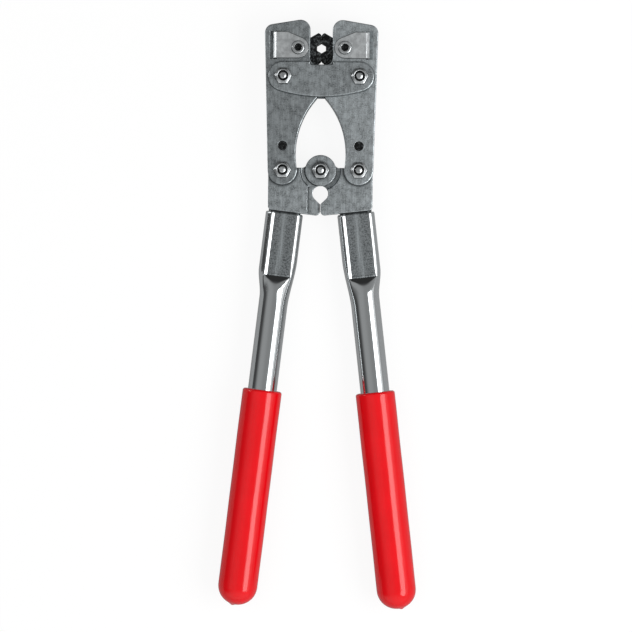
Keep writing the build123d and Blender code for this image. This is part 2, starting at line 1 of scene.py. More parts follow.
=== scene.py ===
# %% [markdown]
# # Crimping pliers with turning dies
# Long-handled crimping pliers lie on their back on a white table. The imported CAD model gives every
# piece its place and size. This lesson gives the pieces their finish: mottled plated steel, polished
# chrome, black oxide, bright zinc and dipped red PVC. The pieces whose real shape is softer or finer
# than their CAD solid are made again as surfaces: the tubes, grips, die wheels, nuts, bolts and screws.

# %% Load the frame
import json
from math import cos, radians, sin

import bpy
import numpy as np
from mathutils import Matrix, Vector


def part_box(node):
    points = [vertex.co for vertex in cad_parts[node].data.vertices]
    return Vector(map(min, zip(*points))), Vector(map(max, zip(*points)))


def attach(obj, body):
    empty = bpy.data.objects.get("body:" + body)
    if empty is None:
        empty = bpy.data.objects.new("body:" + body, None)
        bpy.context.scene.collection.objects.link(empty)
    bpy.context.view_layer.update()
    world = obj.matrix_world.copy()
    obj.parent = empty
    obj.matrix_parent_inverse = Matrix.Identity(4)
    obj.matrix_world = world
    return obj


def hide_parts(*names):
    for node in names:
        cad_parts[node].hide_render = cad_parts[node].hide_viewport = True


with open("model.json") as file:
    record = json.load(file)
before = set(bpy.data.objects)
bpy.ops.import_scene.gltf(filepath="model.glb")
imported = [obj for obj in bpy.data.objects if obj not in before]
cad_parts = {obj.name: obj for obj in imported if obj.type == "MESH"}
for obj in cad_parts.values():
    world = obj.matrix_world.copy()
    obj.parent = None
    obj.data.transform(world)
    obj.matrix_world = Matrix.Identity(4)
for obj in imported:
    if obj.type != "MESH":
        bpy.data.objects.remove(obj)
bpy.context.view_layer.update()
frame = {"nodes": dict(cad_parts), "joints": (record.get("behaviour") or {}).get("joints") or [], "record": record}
scene = bpy.context.scene
nodes = frame["nodes"]
joint_place = {joint["name"]: Vector(joint["pos_m"]) for joint in frame["joints"]}
MM = 0.001

# %% [markdown]
# ## Camera
# The tool was seen straight from above through a long lens, so its sides hardly show. The lens is
# worked out from the width that the picture covers at the middle of the tool's thickness.

# %% Camera
FIELD = 0.419
CAMERA_HEIGHT = 2.2
CAMERA_X = -0.00215
CAMERA_Y = -0.00057
CAMERA_ROLL = radians(0.49)
SENSOR_WIDTH = 36.0

camera_data = bpy.data.cameras.new("camera")
camera_data.sensor_width = SENSOR_WIDTH
middle_z = joint_place["handle_spread"].z
camera_data.lens = SENSOR_WIDTH * (CAMERA_HEIGHT - middle_z) / FIELD
camera = bpy.data.objects.new("camera", camera_data)
roll = Matrix.Rotation(CAMERA_ROLL, 4, "Z")
camera.matrix_world = Matrix.Translation((CAMERA_X, CAMERA_Y, CAMERA_HEIGHT)) @ roll
scene.collection.objects.link(camera)
scene.camera = camera
scene.view_settings.view_transform = "Standard"
print("lens", round(camera_data.lens, 1), "mm")

# %% [markdown]
# ## Small tools for node trees
# Every material and the stage are node trees, so a few helpers keep them short. One either sets or
# links each input of a node, and one adds a node. The others are the nodes used most: arithmetic on
# values, a value carried from one range to another, a blend of two colours by a mask, and plain greys.

# %% Node helpers
COOL_BLUE = 0.4


def feed(tree, sockets, inputs):
    """Link every input that is a socket of another node, and set any other value."""
    for name, value in inputs.items():
        if isinstance(value, bpy.types.NodeSocket):
            tree.links.new(value, sockets[name])
        else:
            sockets[name].default_value = value


def add(tree, kind, inputs=None, **settings):
    """Add a shader node with its settings and its inputs."""
    made = tree.nodes.new("ShaderNode" + kind)
    for name, value in settings.items():
        setattr(made, name, value)
    feed(tree, made.inputs, inputs or {})
    return made


def calculate(tree, operation, first, second):
    """The result of one arithmetic step on two values or sockets."""
    return add(tree, "Math", {0: first, 1: second}, operation=operation).outputs[0]


def stretch(tree, value, low, high, to_low=0.0, to_high=1.0):
    """A value carried from one range to another, smoothly and clamped at both ends."""
    inputs = {"Value": value, "From Min": low, "From Max": high, "To Min": to_low, "To Max": to_high}
    return add(tree, "MapRange", inputs, interpolation_type="SMOOTHSTEP").outputs[0]


def spread(tree, mask, at_zero, at_one):
    """A value that goes smoothly from one level where a mask is 0 to another where it is 1."""
    return stretch(tree, mask, 0.0, 1.0, at_zero, at_one)


def blend_colours(tree, mask, first, second):
    """The first colour where the mask is 0, and the second where it is 1: the node's sockets 6 and 7."""
    return add(tree, "Mix", {0: mask, 6: first, 7: second}, data_type="RGBA").outputs[2]


def grey(level, cool=0.0):
    """A grey colour, with less red and a little more blue if it is to be cool."""
    return (level * (1.0 - cool), level, level * (1.0 + COOL_BLUE * cool), 1.0)


print("node helpers ready")

# %% [markdown]
# ## Table and light
# Polished metal shows the room more than itself. The room here is a dim grey ceiling over dark left
# and far walls and lighter right and near walls. A tall soft box on the right with a faint glow round
# it draws the white bands along the tubes, and a small one low on the left answers it. A broad fill
# lamp lights the matt surfaces only, as if a card hid it from the mirrors. The table is white to the
# eye, keeps a soft shadow of the tool, and lies a millimetre lower, beyond the reach of the painted
# shade in the finishes, which would otherwise darken the tool's back.

# %% Table
TABLE_HALF = 6.0
TABLE_DROP = 1.1 * MM
CAMERA_SHARE = 0.9
MIRROR_SHARE = 0.2
BOUNCE = 0.3

table_mesh = bpy.data.meshes.new("table")
corners = TABLE_HALF * np.array([(-1, -1, 0), (1, -1, 0), (1, 1, 0), (-1, 1, 0)])
table_mesh.from_pydata((corners - (0, 0, TABLE_DROP)).tolist(), [], [(0, 1, 2, 3)])
table = bpy.data.objects.new("table", table_mesh)
scene.collection.objects.link(table)

table_paint = bpy.data.materials.new("white_table")
table_paint.use_nodes = True
tree = table_paint.node_tree
tree.nodes.clear()
ray = add(tree, "LightPath")
mirrored = calculate(tree, "MAXIMUM", ray.outputs["Is Glossy Ray"], ray.outputs["Is Transmission Ray"])
mirrored = calculate(tree, "MULTIPLY", mirrored, MIRROR_SHARE)
direct = calculate(tree, "MULTIPLY", ray.outputs["Is Camera Ray"], CAMERA_SHARE)
glow = calculate(tree, "MAXIMUM", direct, mirrored)
shade = add(tree, "Mix", {0: ray.outputs["Is Camera Ray"], 2: BOUNCE, 3: 1.0}).outputs[0]
matt = add(tree, "BsdfDiffuse", {"Color": shade})
white = add(tree, "Emission", {"Color": grey(1.0), "Strength": 1.0})
top_side = add(tree, "MixShader", {0: glow, 1: matt.outputs[0], 2: white.outputs[0]})
under_side = add(tree, "BsdfTransparent")
under = add(tree, "NewGeometry").outputs["Backfacing"]
both = add(tree, "MixShader", {0: under, 1: top_side.outputs[0], 2: under_side.outputs[0]})
add(tree, "OutputMaterial", {"Surface": both.outputs[0]})
table_mesh.materials.append(table_paint)
print("table", 2 * TABLE_HALF, "m square")

# %% Room
CEILING = 0.34
CEILING_LEFT = 0.42
LEFT_WALL = 0.08
RIGHT_WALL = 0.45
FAR_WALL = 0.04
NEAR_WALL = 0.75
WALL_SPAN = (-0.8, 0.8)
CEILING_SPAN = (-0.45, 0.1)
CEILING_RISE = (0.3, 0.78)
FAR_SPAN = (0.55, 0.9)
NEAR_SPAN = (-0.35, -0.75)

world = bpy.data.worlds.new("room")
scene.world = world
world.use_nodes = True
tree = world.node_tree
tree.nodes.clear()
direction = add(tree, "SeparateXYZ", {0: add(tree, "TexCoord").outputs["Generated"]}).outputs
wall = stretch(tree, direction["X"], *WALL_SPAN, LEFT_WALL, RIGHT_WALL)
height = stretch(tree, direction["Z"], *CEILING_RISE)
ceiling = stretch(tree, direction["X"], *CEILING_SPAN, CEILING_LEFT, CEILING)
level = add(tree, "Mix", {0: height, 2: wall, 3: ceiling}).outputs[0]
far = stretch(tree, direction["Y"], *FAR_SPAN)
level = add(tree, "Mix", {0: far, 2: level, 3: FAR_WALL}).outputs[0]
near = stretch(tree, direction["Y"], *NEAR_SPAN)
level = add(tree, "Mix", {0: near, 2: level, 3: NEAR_WALL}).outputs[0]
air = add(tree, "Background", {"Color": grey(1.0), "Strength": level})
add(tree, "OutputWorld", {"Surface": air.outputs[0]})
print("room levels", LEFT_WALL, RIGHT_WALL, FAR_WALL, NEAR_WALL, CEILING)


# %% Soft boxes
def soft_box(name, angle, distance, y, width, length, radiance, mirrored=True):
    """A rectangular lamp facing the tool, at so many degrees from straight up towards the right.

    A flat lamp of area A that shows a radiance L gives a power of pi times L times A.
    """
    lamp = bpy.data.lights.new(name, "AREA")
    lamp.shape = "RECTANGLE"
    lamp.size = width
    lamp.size_y = length
    lamp.energy = np.pi * radiance * width * length
    box = bpy.data.objects.new(name, lamp)
    turn = Matrix.Rotation(radians(angle), 4, "Y")
    box.matrix_world = Matrix.Translation((0, y, 0)) @ turn @ Matrix.Translation((0, 0, distance))
    box.visible_glossy = mirrored
    scene.collection.objects.link(box)
    print(name, round(lamp.energy, 2), "W")


soft_box("right_box", angle=42, distance=1.1, y=-0.295, width=0.52, length=1.07, radiance=4.3)
soft_box("right_glow", angle=48, distance=1.15, y=-0.295, width=1.0, length=1.07, radiance=0.65)
soft_box("left_box", angle=-76, distance=1.1, y=0.35, width=0.5, length=0.17, radiance=4.5)
soft_box("left_fill", angle=-28, distance=1.5, y=0.0, width=1.2, length=1.6, radiance=1.2, mirrored=False)

# %% [markdown]
# ## Shared effects
# Four effects come back in several finishes, so each is a node group with its own sockets. Mottle
# is the cloudy, speckled look of plated forgings. Edge wear finds the edges by comparing the true
# normal with one that is rounded over a small radius, and breaks the mask up with noise. Drawn
# lines are the fine streaks that brushing or drawing leaves along one direction. Painted shade is a
# dark tone laid where little of the sky is seen, in grooves and round the feet of nuts, standing in
# for the shade that falls there.

# %% Node group helpers
VECTORS = ("Vector", "Rounded Normal")


def new_group(name, inputs, outputs):
    """An empty shader node group with named sockets, and the sockets of its input and output nodes."""
    group = bpy.data.node_groups.new(name, "ShaderNodeTree")
    for way, labels in (("INPUT", inputs), ("OUTPUT", outputs)):
        for label in labels:
            kind = "NodeSocketVector" if label in VECTORS else "NodeSocketFloat"
            group.interface.new_socket(label, in_out=way, socket_type=kind)
    return group, group.nodes.new("NodeGroupInput").outputs, group.nodes.new("NodeGroupOutput").inputs


def noise(tree, vector, scale, detail=3.0, roughness=0.55):
    """A cloud of values about a half, at so many clouds per metre."""
    inputs = {"Vector": vector, "Scale": scale, "Detail": detail, "Roughness": roughness}
    return add(tree, "TexNoise", inputs).outputs[0]


def effect(tree, group, **inputs):
    """Place a shared effect. Its inputs are named as its sockets are, in small letters."""
    named = {name.replace("_", " ").title(): value for name, value in inputs.items()}
    return add(tree, "Group", named, node_tree=group).outputs


print("effect helpers ready")

# %% Mottle
CLOUD_SPAN = (0.32, 0.68)
SPECK_SPAN = (0.34, 0.66)

mottle, taken, given = new_group("mottle", ["Vector", "Cloud Scale", "Speck Scale"], ["Cloud", "Speck"])
clouds = noise(mottle, taken["Vector"], taken["Cloud Scale"], detail=4.0)
specks = noise(mottle, taken["Vector"], taken["Speck Scale"], roughness=0.7)
mottle.links.new(stretch(mottle, clouds, *CLOUD_SPAN), given["Cloud"])
mottle.links.new(stretch(mottle, specks, *SPECK_SPAN), given["Speck"])
print("group", mottle.name)

# %% Edge wear
EDGE_MATCH = (0.99, 0.88)
PATCH_SPAN = (0.3, 0.62)

edge_wear, taken, given = new_group(
    "edge_wear", ["Vector", "Radius", "Patch Scale"], ["Wear", "Rounded Normal"]
)
rounded = add(edge_wear, "Bevel", {"Radius": taken["Radius"]}, samples=6).outputs[0]
true_normal = add(edge_wear, "NewGeometry").outputs["Normal"]
match = add(edge_wear, "VectorMath", {0: rounded, 1: true_normal}, operation="DOT_PRODUCT")
edge = stretch(edge_wear, match.outputs["Value"], *EDGE_MATCH)
patches = stretch(edge_wear, noise(edge_wear, taken["Vector"], taken["Patch Scale"]), *PATCH_SPAN)
edge_wear.links.new(calculate(edge_wear, "MULTIPLY", edge, patches), given["Wear"])
edge_wear.links.new(rounded, given["Rounded Normal"])
print("group", edge_wear.name)

# %% Drawn lines
STREAK_SPAN = (0.3, 0.7)

drawn_lines, taken, given = new_group("drawn_lines", ["Vector", "Across Scale", "Along Scale"], ["Lines"])
scales = {0: taken["Across Scale"], 1: taken["Along Scale"], 2: taken["Across Scale"]}
scales = add(drawn_lines, "CombineXYZ", scales).outputs[0]
drawn = add(drawn_lines, "VectorMath", {0: taken["Vector"], 1: scales}, operation="MULTIPLY")
streaks = noise(drawn_lines, drawn.outputs["Vector"], 1.0, detail=4.0, roughness=0.6)
drawn_lines.links.new(stretch(drawn_lines, streaks, *STREAK_SPAN), given["Lines"])
print("group", drawn_lines.name)

# %% Painted shade
SKY_SPAN = (0.95, 0.5)

# Ambient occlusion used as a colour mask: it marks where shade falls, so the finishes can paint that shade in.
painted_shade, taken, given = new_group("painted_shade", ["Distance"], ["Grime"])
open_sky = add(painted_shade, "AmbientOcclusion", {"Distance": taken["Distance"]}, samples=8).outputs["AO"]
painted_shade.links.new(stretch(painted_shade, open_sky, *SKY_SPAN), given["Grime"])
print("group", painted_shade.name)

# %% [markdown]
# ## Steel finishes
# The plates, straps and heads are steel with a satin plating that came out cloudy. A mask of clouds
# and one of specks vary both the grey and the gloss, faint grinding lines run along the jaws, the
# edges are rubbed brighter and shade is painted dark into the corners. The heads are rougher
# forgings, with painted shade reaching further round the hub. One function makes all four steels,
# and its values say how they differ.

# %% Plated steel
COOL = 0.08
STEEL_CLOUDS = 290.0
PLATE_SPECKS = 1150.0
PLATE_EDGE = 0.35 * MM
PLATE_GLOSS = (0.41, 0.29)
PLATE_RELIEF = 0.02 * MM
SPECK_SHARE = 0.75
SPECK_GAIN = 1.3
LINE_SHARE = 0.35
LINE_DIM = 0.7
EDGE_GREY = 0.9
# Reach and grey of the painted shade in corners and round the feet of nuts.
PAINTED_SHADE_REACH = 1.0 * MM
PAINTED_SHADE_GREY = 0.07


def finish(name):
    """A new material, its node tree and the inputs of its shader."""
    material = bpy.data.materials.new(name)
    material.use_nodes = True
    print("finish", name)
    return material, material.node_tree, material.node_tree.nodes["Principled BSDF"].inputs


def bump(tree, height, depth, normal=None):
    """A normal that follows a height mask, whose full range stands for a depth in metres."""
    inputs = {"Height": height, "Strength": 1.0, "Distance": depth}
    if normal is not None:
        inputs["Normal"] = normal
    return add(tree, "Bump", inputs).outputs[0]


def plated_steel(
    name, dark, light, specks=PLATE_SPECKS, edge=PLATE_EDGE, gloss=PLATE_GLOSS,
    relief=PLATE_RELIEF, reach=PAINTED_SHADE_REACH,
):
    """Cloudy, speckled steel with faint grinding lines, brighter edges and painted shade in its corners."""
    material, tree, shader = finish(name)
    here = add(tree, "TexCoord").outputs["Object"]
    mask = effect(tree, mottle, vector=here, cloud_scale=STEEL_CLOUDS, speck_scale=specks)
    worn = effect(tree, edge_wear, vector=here, radius=edge, patch_scale=260.0)
    lines = effect(tree, drawn_lines, vector=here, across_scale=1100.0, along_scale=70.0)["Lines"]
    tone = blend_colours(tree, mask["Cloud"], grey(dark, COOL), grey(light, COOL))
    speck = calculate(tree, "MULTIPLY", mask["Speck"], SPECK_SHARE)
    tone = blend_colours(tree, speck, tone, grey(light * SPECK_GAIN, COOL))
    line = calculate(tree, "MULTIPLY", lines, LINE_SHARE)
    tone = blend_colours(tree, line, tone, grey(dark * LINE_DIM, COOL))
    tone = blend_colours(tree, worn["Wear"], tone, grey(EDGE_GREY, COOL))
    # Painted shade: the colour darkens where nearby surfaces hide the sky.
    painted_shade_mask = effect(tree, painted_shade, distance=reach)["Grime"]
    tone = blend_colours(tree, painted_shade_mask, tone, grey(PAINTED_SHADE_GREY, COOL))
    uneven = calculate(tree, "ADD", mask["Speck"], mask["Cloud"])
    feed(tree, shader, {
        "Base Color": tone,
        "Roughness": spread(tree, mask["Speck"], *gloss),
        "Metallic": 1.0,
        "Normal": bump(tree, uneven, relief, worn["Rounded Normal"]),
    })
    return material


plate_steel = plated_steel("plate_steel", dark=0.19, light=0.56)
# A dimmer and a paler copy for the jaw cheeks: painted shade on the left jaw, painted light on the right.
left_shaded_steel = plated_steel("left_shaded_steel", dark=0.165, light=0.5)
pale_steel = plated_steel("pale_steel", dark=0.26, light=0.67)
# The heads' painted shade reaches further, to darken the grooves round the hub.
head_steel = plated_steel(
    "head_steel", dark=0.2, light=0.6, specks=1100.0, edge=0.5 * MM, gloss=(0.43, 0.31),
    relief=0.024 * MM, reach=3.0 * MM,
)

# %% Bright bolts and spring strip
CLOUD_DIM = 0.7
RUBBED_GREY = 0.88
STRIP_RELIEF = 0.0015 * MM


def scaled(colour, share):
    """A colour with its red, green and blue made that many times as strong."""
    return tuple(share * c for c in colour[:3]) + (1.0,)


def bright_metal(name, colour, gloss, across, along):
    """Bright metal with clouds in its tone and painted shade in its corners, whose fine lines vary its gloss."""
    material, tree, shader = finish(name)
    here = add(tree, "TexCoord").outputs["Object"]
    lines = effect(tree, drawn_lines, vector=here, across_scale=across, along_scale=along)["Lines"]
    mask = effect(tree, mottle, vector=here, cloud_scale=300.0, speck_scale=1500.0)
    worn = effect(tree, edge_wear, vector=here, radius=0.25 * MM, patch_scale=500.0)
    tone = blend_colours(tree, mask["Cloud"], scaled(colour, CLOUD_DIM), colour)
    tone = blend_colours(tree, worn["Wear"], tone, grey(RUBBED_GREY))
    # Painted shade: the colour darkens where nearby surfaces hide the sky.
    painted_shade_mask = effect(tree, painted_shade, distance=PAINTED_SHADE_REACH)["Grime"]
    tone = blend_colours(tree, painted_shade_mask, tone, grey(PAINTED_SHADE_GREY, COOL))
    feed(tree, shader, {
        "Base Color": tone,
        "Roughness": spread(tree, lines, *gloss),
        "Metallic": 1.0,
        "Normal": bump(tree, lines, STRIP_RELIEF, worn["Rounded Normal"]),
    })
    return material


zinc = bright_metal("bright_zinc", grey(0.72, 0.5 * COOL), gloss=(0.2, 0.31), across=900.0, along=900.0)
strip_steel = bright_metal(
    "strip_steel", grey(0.88, 0.5 * COOL), gloss=(0.28, 0.39), across=1400.0, along=60.0
)

# %% [markdown]
# ## Black finishes
# The dies and the dowels are blackened: the steel is turned in a hot salt bath until it has a thin
# black oxide skin. The skin is dark but not dead: it keeps a dull metal sheen, shows grey flecks and
# is rubbed through to grey at the corners. The lock nuts hold a dark nylon ring, plain plastic.

# %% Black oxide
CLOUD_GAIN = 2.2
FLECK_START = 0.45
FLECK_SHARE = 0.7
OXIDE_GLOSS = (0.39, 0.55)
OXIDE_RELIEF = 0.008 * MM


def black_oxide(name, dark, worn_grey):
    """Near black metal skin with grey flecks, cloudy in gloss, rubbed to grey along its edges."""
    material, tree, shader = finish(name)
    here = add(tree, "TexCoord").outputs["Object"]
    mask = effect(tree, mottle, vector=here, cloud_scale=260.0, speck_scale=650.0)
    worn = effect(tree, edge_wear, vector=here, radius=0.35 * MM, patch_scale=420.0)
    tone = blend_colours(tree, mask["Cloud"], grey(dark), grey(CLOUD_GAIN * dark, COOL))
    flecks = stretch(tree, mask["Speck"], FLECK_START, 1.0, 0.0, FLECK_SHARE)
    tone = blend_colours(tree, flecks, tone, grey(worn_grey, COOL))
    tone = blend_colours(tree, worn["Wear"], tone, grey(worn_grey))
    feed(tree, shader, {
        "Base Color": tone,
        "Roughness": spread(tree, mask["Speck"], *OXIDE_GLOSS),
        "Metallic": 0.75,
        "IOR": 1.3,
        "Normal": bump(tree, mask["Speck"], OXIDE_RELIEF, worn["Rounded Normal"]),
    })
    return material


die_black = black_oxide("die_black", dark=0.007, worn_grey=0.15)
pin_black = black_oxide("pin_black", dark=0.007, worn_grey=0.08)

# %% Nylon
NYLON_CLOUD = 1.5
NYLON_GLOSS = (0.42, 0.54)
NYLON_RELIEF = 0.006 * MM


def moulded_nylon(name, colour):
    """Dark plastic with a faint cloud in its colour and a fine moulded grain."""
    material, tree, shader = finish(name)
    here = add(tree, "TexCoord").outputs["Object"]
    mask = effect(tree, mottle, vector=here, cloud_scale=400.0, speck_scale=2500.0)
    feed(tree, shader, {
        "Base Color": blend_colours(tree, mask["Cloud"], colour, scaled(colour, NYLON_CLOUD)),
        "Roughness": spread(tree, mask["Speck"], *NYLON_GLOSS),
        "Normal": bump(tree, mask["Speck"], NYLON_RELIEF),
    })
    return material


nylon = moulded_nylon("dark_nylon", (0.016, 0.017, 0.019, 1.0))

# %% [markdown]
# ## Chrome and dipped PVC
# The tubes are polished and chromed before their ends are pressed onto the tangs, so the round part
# mirrors the room and the pressed flats are scuffed dull by the tool. Where the flats are comes from
# an attribute on the tube's own points. The grips are made by dipping: the plastic is thick, shiny
# and slightly uneven, a deep red that is glossy all over.

# %% Chrome
SCUFFED_GREYS = (0.13, 0.46)
SCUFFED_GLOSS = (0.42, 0.3)
STREAK_GREY = 0.7
STREAK_HALF = 3.0 * MM
SMUDGE_START = 0.2
SMUDGE_GLOSS = (0.06, 0.1)
POLISH_SHARE = 0.04
CHROME_RELIEF = 0.012 * MM


def chrome(name, colour):
    """Mirror chrome with faint drawn lines and smudges, dull and mottled where "pressed" is 1."""
    material, tree, shader = finish(name)
    pressed = add(tree, "Attribute", attribute_name="pressed").outputs["Fac"]
    run = add(tree, "Attribute", attribute_name="run").outputs["Vector"]
    lines = effect(tree, drawn_lines, vector=run, across_scale=1500.0, along_scale=25.0)["Lines"]
    mask = effect(tree, mottle, vector=run, cloud_scale=90.0, speck_scale=1000.0)
    dull = blend_colours(tree, mask["Speck"], *(grey(level, COOL) for level in SCUFFED_GREYS))
    middle = calculate(tree, "ABSOLUTE", add(tree, "SeparateXYZ", {0: run}).outputs["X"], 0.0)
    rubbed = calculate(tree, "MULTIPLY", stretch(tree, middle, STREAK_HALF, 0.0), lines)
    dull = blend_colours(tree, rubbed, dull, grey(STREAK_GREY, COOL))
    smudge = stretch(tree, mask["Cloud"], SMUDGE_START, 1.0, *SMUDGE_GLOSS)
    scuffed = spread(tree, mask["Speck"], *SCUFFED_GLOSS)
    rough = calculate(tree, "MULTIPLY", mask["Speck"], pressed)
    uneven = calculate(tree, "ADD", calculate(tree, "MULTIPLY", lines, POLISH_SHARE), rough)
    feed(tree, shader, {
        "Base Color": blend_colours(tree, pressed, colour, dull),
        "Roughness": add(tree, "Mix", {0: pressed, 2: smudge, 3: scuffed}).outputs[0],
        "Metallic": 1.0,
        "Normal": bump(tree, uneven, CHROME_RELIEF),
    })
    return material


polished_chrome = chrome("polished_chrome", grey(0.6, 0.5 * COOL))

# %% Dipped PVC
PVC_GLOSS = (0.1, 0.14)
PVC_RELIEF = 0.004 * MM


def dipped_pvc(name, colour, deep):
    """Glossy red plastic: slow clouds of deeper red and a fine orange-peel bump."""
    material, tree, shader = finish(name)
    here = add(tree, "TexCoord").outputs["Object"]
    mask = effect(tree, mottle, vector=here, cloud_scale=45.0, speck_scale=420.0)
    feed(tree, shader, {
        "Base Color": blend_colours(tree, mask["Cloud"], deep, colour),
        "Roughness": spread(tree, mask["Speck"], *PVC_GLOSS),
        "IOR": 1.45,
        "Normal": bump(tree, mask["Speck"], PVC_RELIEF),
    })
    return material


red_pvc = dipped_pvc("red_pvc", colour=(0.78, 0.003, 0.008, 1.0), deep=(0.73, 0.003, 0.007, 1.0))

# %% [markdown]
# ## Finishes on the CAD pieces
# Plates, straps, heads, springs, spacers and dowels are right as they were cut, and only take a finish.
# The record names a slot for every piece. The heads get their rougher steel. The cheek plates of the
# right jaw get a paler steel and those of the left a dimmer one: painted light on the right and
# painted shade on the left, as the lamps on the right would light them.

# %% Dress the CAD pieces
finishes = {
    "forged_steel": plate_steel,
    "bright_bolts": zinc,
    "spring_steel": strip_steel,
    "black_dies": die_black,
    "black_pins": pin_black,
    "chrome_tube": polished_chrome,
    "red_grip": red_pvc,
}
for subpart in frame["record"]["subparts"]:
    mesh = nodes[subpart["node"]].data
    mesh.materials.clear()
    material = finishes[subpart["material_slot"]]
    if subpart["node"].endswith("_handle_head"):
        material = head_steel
    # Painted light and shade: the right jaw's cheeks lighter, the left's darker, as the right-hand lamps would
    # light them.
    if subpart["node"].endswith("_cheek"):
        material = pale_steel if subpart["node"].startswith("right_") else left_shaded_steel
    mesh.materials.append(material)

# %% [markdown]
# ## Surfaces from grids
# Every new piece is a closed surface on a grid of points: rows along the piece, columns round it.
# The helper joins the grid into faces, either as a ring whose last row meets its first or with a
# pole at each end. A closed surface has a volume, whose sign tells which way its faces look, so they
# can be turned outwards without guessing.


# %% Grid helpers
def smooth(value):
    """Zero below 0, one above 1, and an even S curve between them."""
    value = np.clip(value, 0.0, 1.0)
    return value * value * (3.0 - 2.0 * value)


def full_turn(columns):
    """The angles of columns spaced evenly once round a piece."""
    return np.linspace(0.0, 2 * np.pi, columns, endpoint=False)


def grid_faces(rows, columns, ring):
    """Corner numbers of the quads between neighbouring rows and columns, and of the pole triangles."""
    index = np.arange(rows * columns).reshape(rows, columns)
    after = np.roll(index, -1, axis=0)
    if not ring:
        index, after = index[:-1], after[:-1]
    quads = np.stack([index, np.roll(index, -1, 1), np.roll(after, -1, 1), after], -1).reshape(-1, 4)
    if ring:
        return quads, np.zeros((0, 3), int)
    first = index[0]
    last = after[-1]
    start = np.full(columns, rows * columns)
    top = np.stack([start, np.roll(first, -1), first], -1)
    bottom = np.stack([start + 1, last, np.roll(last, -1)], -1)
    return quads, np.vstack([top, bottom])


def closed_surface(name, points, poles=None, crease=30.0):
    """A closed mesh on one grid of points, or on several in one array, with its faces turned outwards.

    The volume is a sixth of the sum of the box products of the corners of all its triangles.
    """
    rows, columns = points.shape[-3:-1]
    quads, fans = grid_faces(rows, columns, poles is None)
    grids = points.reshape(-1, rows * columns, 3)
    if poles is not None:
        grids = np.concatenate([grids, np.reshape(poles, (-1, 2, 3))], axis=1)
    starts = np.arange(len(grids))[:, None, None] * grids.shape[1]
    places = grids.reshape(-1, 3)
    quads = (quads + starts).reshape(-1, 4)
    fans = (fans + starts).reshape(-1, 3)
    halves = np.vstack([quads[:, [0, 1, 2]], quads[:, [0, 2, 3]], fans])
    a, b, c = (places[halves[:, corner]] for corner in range(3))
    volume = np.einsum("ij,ij->i", a, np.cross(b, c)).sum() / 6
    if volume < 0:
        quads, fans = quads[:, ::-1], fans[:, ::-1]
    mesh = bpy.data.meshes.new(name)
    mesh.from_pydata(places.tolist(), [], quads.tolist() + fans.tolist())
    mesh.shade_smooth()
    mesh.set_sharp_from_angle(angle=radians(crease))
    print(name, len(quads) + len(fans), "faces,", round(abs(volume) / MM**3), "cubic mm")
    return mesh


def stand_in(mesh, material, body, slot, *replaced):
    """Put a mesh in the scene as a piece that rides on a body and stands for CAD nodes."""
    piece = bpy.data.objects.new(mesh.name, mesh)
    scene.collection.objects.link(piece)
    if material is not None:
        mesh.materials.append(material)
    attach(piece, body)
    if replaced:
        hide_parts(*replaced)


print("grid helpers ready")

# %% [markdown]
# ## Pressed tubes
# Each handle is a round tube whose upper end is pressed flat over a tang. The press squeezes the
# tube wider, leaves a flat with a raised lip on its left and ends in a steep ramp. The section is a
# round-ended slot of constant girth: a straight half length and an end radius, changing smoothly
# into a circle. The change starts first along the middle, and is slower on the handle's inner side
# than on its outer one. The flat then cuts the section off at a height that climbs along the ramp,
# and a soft minimum rounds the crease between them.

# %% Handle frame
SIDES = ((-1, "left"), (1, "right"))
HUB = joint_place["handle_spread"]
HANDLE_LEAN = radians(6.65)
HANDLE_X = 23.7 * MM
HANDLE_DROP = 28.9 * MM


def on_handle(side, across, along, up):
    """Points of a handle: outwards from its axis, down its length from the top of the tube, and up."""
    x = side * (HANDLE_X + along * sin(HANDLE_LEAN) + across * cos(HANDLE_LEAN))
    y = HUB.y - HANDLE_DROP - along * cos(HANDLE_LEAN) + across * sin(HANDLE_LEAN)
    z = HUB.z + up
    return np.stack(np.broadcast_arrays(x, y, z), -1)


print("hub at", [round(v / MM, 1) for v in HUB], "mm")

# %% Tube section
TUBE_R = 9.6 * MM
TUBE_WALL = 1.6 * MM
FLAT_HALF = 4.8 * MM
FLAT_STRAIGHT = (np.pi / 2) * (TUBE_R - FLAT_HALF)
FLAT_END = {-1: 41.3 * MM, 1: 42.1 * MM}
RAMP_LENGTH = 11.5 * MM
RAMP_POWER = 2.0
RIDGE_HEIGHT = 0.22 * MM
RIDGE_WIDTH = 0.5 * MM
RIDGE_FADE = 1.6 * MM
RIDGE_BACK = 1.6
LEFT_SHARP = 2.0
INNER_NECK = (30.0 * MM, 32.0 * MM)
OUTER_NECK = (37.0 * MM, 19.0 * MM)
NECK_MIX = 1.2
MIDDLE_NECK = (23.0 * MM, 23.0 * MM)
MIDDLE_SHARE = 0.85
LIP_PLACE = {-1: 8.3 * MM, 1: 9.1 * MM}
LIP_WIDTH = {-1: 1.4 * MM, 1: 2.6 * MM}
LIP_HEIGHT = {-1: 0.75 * MM, 1: 1.0 * MM}
LIP_FOOT = 1.5 * MM
LIP_FADE = 2.0 * MM
CREASE_ROUND = 0.35 * MM
RAMP_ROUND = 1.2 * MM
RAMP_ROUND_SHARE = 0.4
WALL_START = {-1: 6.3 * MM, 1: 7.3 * MM}
WALL_SLOPE = 0.42
WALL_ROUND = 0.3 * MM
WALL_FADE = {-1: 0.3, 1: 0.8}
FLAT_LEFT = {-1: 6.4 * MM, 1: 7.4 * MM}
FLAT_RIGHT = 8.4 * MM
PRESSED_FADE = 0.8 * MM
PRESSED_SOFT = 0.5 * MM
PRESSED_LEAD = 0.9
PRESSED_PAST = 0.3 * MM
CLEAR_HEIGHT = 2.5 * MM


def soft_minimum(first, second, blend):
    """The smaller of two heights, with the corner where they cross rounded over a blend length."""
    mix = np.clip(0.5 + 0.5 * (second - first) / blend, 0.0, 1.0)
    return second + (first - second) * mix - blend * mix * (1.0 - mix)


